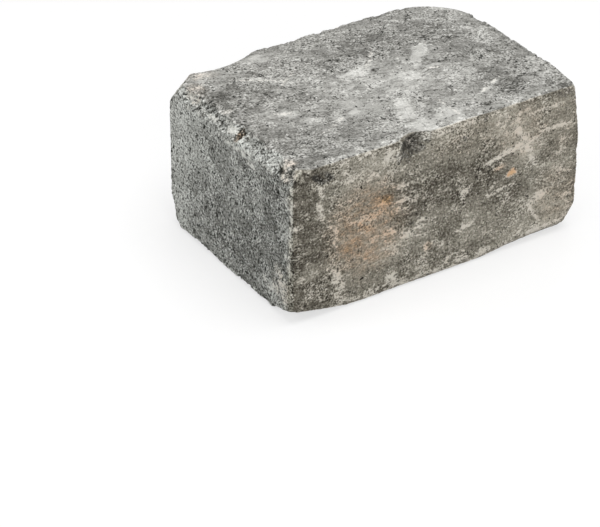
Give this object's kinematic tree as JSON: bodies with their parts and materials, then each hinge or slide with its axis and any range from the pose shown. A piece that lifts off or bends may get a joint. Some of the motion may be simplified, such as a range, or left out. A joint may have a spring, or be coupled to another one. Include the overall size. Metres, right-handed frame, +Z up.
{
  "type": "garden wall block",
  "caption": "Solid rectangular block of tumbled grey concrete with worn arrises and knocked-off corners, stacked in courses to build low garden walls.",
  "frame": {"origin": "centre of the bottom bed face, on which the block lies", "axes": "+X along the block's length, +Y from its front face to its back face, +Z up to its top bed face"},
  "size_m": [0.3, 0.206, 0.147],
  "materials": {
    "concrete": "weathered dry-cast concrete, rough and open-textured, with a brown tinge on its face"
  },
  "bodies": {
    "root": {"wall_block": "concrete"}
  },
  "joints": []
}
